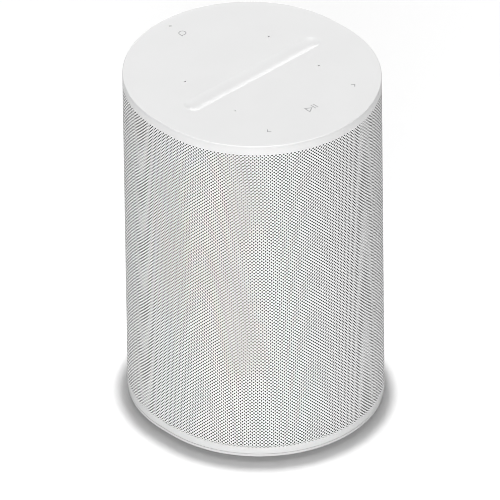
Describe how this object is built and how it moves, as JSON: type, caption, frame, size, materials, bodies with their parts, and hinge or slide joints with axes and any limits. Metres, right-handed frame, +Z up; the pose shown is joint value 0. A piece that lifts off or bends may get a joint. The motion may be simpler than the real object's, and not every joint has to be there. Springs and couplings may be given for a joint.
{
  "type": "smart speaker",
  "caption": "Compact oval tabletop smart speaker with a perforated wrap-round sleeve, concave touch slider on top and a rear panel with power inlet, key and microphone switch.",
  "frame": {"origin": "centre of the base on the surface it stands on", "axes": "+Z up along the height, -Y out of the front, +X to the right hand of a listener facing the front"},
  "size_m": [0.119, 0.1262, 0.1825],
  "materials": {
    "acoustic_cloth": "thin woven",
    "chip_black": "moulded epoxy",
    "shell_white": "fine satin moulded",
    "control_white": "smooth satin",
    "steel": "zinc plated",
    "cabinet_black": "moulded, fine grain",
    "seal_foam": "soft closed cell",
    "capacitor_sleeve": "shrink sleeve",
    "damping_grey": "open cell foam",
    "foot_rubber": "matte",
    "sleeve_white": "satin, perforated",
    "aluminium": "extruded",
    "copper": "enamelled copper wire",
    "lead_insulation": "extruded",
    "board_green": "solder mask",
    "flex_amber": "polyimide",
    "light_pipe": "clear moulded",
    "dome_silk": "coated silk",
    "dark_steel": "black powder coat",
    "can_tin": "tin plated",
    "brass": "machined",
    "socket_black": "moulded",
    "led": "phosphor",
    "tape_yellow": "polyester tape over windings",
    "cone_paper": "pressed paper fibre",
    "ferrite": "ground ferrite",
    "spider_cloth": "resin treated weave",
    "surround_rubber": "satin"
  },
  "bodies": {
    "housing": {"acoustic_mesh": "acoustic_cloth", "amplifier_chip": "chip_black", "base_cover": "shell_white", "board_screws": "steel", "cabinet_back": "cabinet_black", "cabinet_gasket": "seal_foam", "capacitors": "capacitor_sleeve", "case_screws": "steel", "damping_foam": "damping_grey", "foot_ring": "foot_rubber", "front_cabinet": "cabinet_black", "grille_shell": "sleeve_white", "heat_sink": "aluminium", "inlet_pins": "steel", "input_choke": "copper", "internal_leads": "lead_insulation", "io_board": "board_green", "io_ribbon": "flex_amber", "led_light_pipe": "light_pipe", "left_tweeter_gasket": "seal_foam", "left_tweeter_motor": "dark_steel", "left_tweeter_waveguide": "cabinet_black", "main_board": "board_green", "microphone_seals": "seal_foam", "microphones": "can_tin", "mount_insert": "brass", "power_board": "board_green", "power_inlet": "socket_black", "rear_housing": "cabinet_black", "rear_panel": "control_white", "right_tweeter_gasket": "seal_foam", "right_tweeter_motor": "dark_steel", "right_tweeter_waveguide": "cabinet_black", "seam_screws": "steel", "shield_can": "can_tin", "slide_switch_case": "can_tin", "status_led": "led", "tact_switch": "chip_black", "top_cap": "shell_white", "touch_board": "board_green", "touch_flex_cable": "flex_amber", "transformer": "tape_yellow", "tweeter_screws": "dark_steel", "usb_c_receptacle": "steel", "wifi_antennas": "board_green", "woofer_basket": "dark_steel", "woofer_gasket": "seal_foam", "woofer_magnet": "ferrite", "woofer_screws": "dark_steel", "woofer_spider": "spider_cloth", "woofer_surround": "surround_rubber", "woofer_top_plate": "steel", "woofer_yoke": "steel"},
    "woofer_moving": {"woofer_cone": "cone_paper", "woofer_dust_cap": "cone_paper", "woofer_voice_coil": "copper"},
    "left_tweeter_moving": {"left_tweeter_dome": "dome_silk"},
    "right_tweeter_moving": {"right_tweeter_dome": "dome_silk"},
    "bluetooth_key": {"bluetooth_button": "control_white"},
    "mic_slider": {"mic_switch": "control_white"}
  },
  "joints": [
    {"name": "woofer_stroke", "type": "slide", "parent": "housing", "child": "woofer_moving", "axis": [0, -1, 0], "range_m": [-0.004, 0.004], "stiffness_N_per_m": 1500, "deforming": ["woofer_surround", "woofer_spider"]},
    {"name": "left_tweeter_stroke", "type": "slide", "parent": "housing", "child": "left_tweeter_moving", "axis": [-0.766, -0.6428, 0], "range_m": [-0.00025, 0.00025], "stiffness_N_per_m": 900},
    {"name": "right_tweeter_stroke", "type": "slide", "parent": "housing", "child": "right_tweeter_moving", "axis": [0.766, -0.6428, 0], "range_m": [-0.00025, 0.00025], "stiffness_N_per_m": 900},
    {"name": "bluetooth_press", "type": "slide", "parent": "housing", "child": "bluetooth_key", "axis": [0, -1, 0], "range_m": [0, 0.0005], "stiffness_N_per_m": 1500},
    {"name": "mic_slide", "type": "slide", "parent": "housing", "child": "mic_slider", "axis": [1, 0, 0], "range_m": [0, 0.003]}
  ]
}
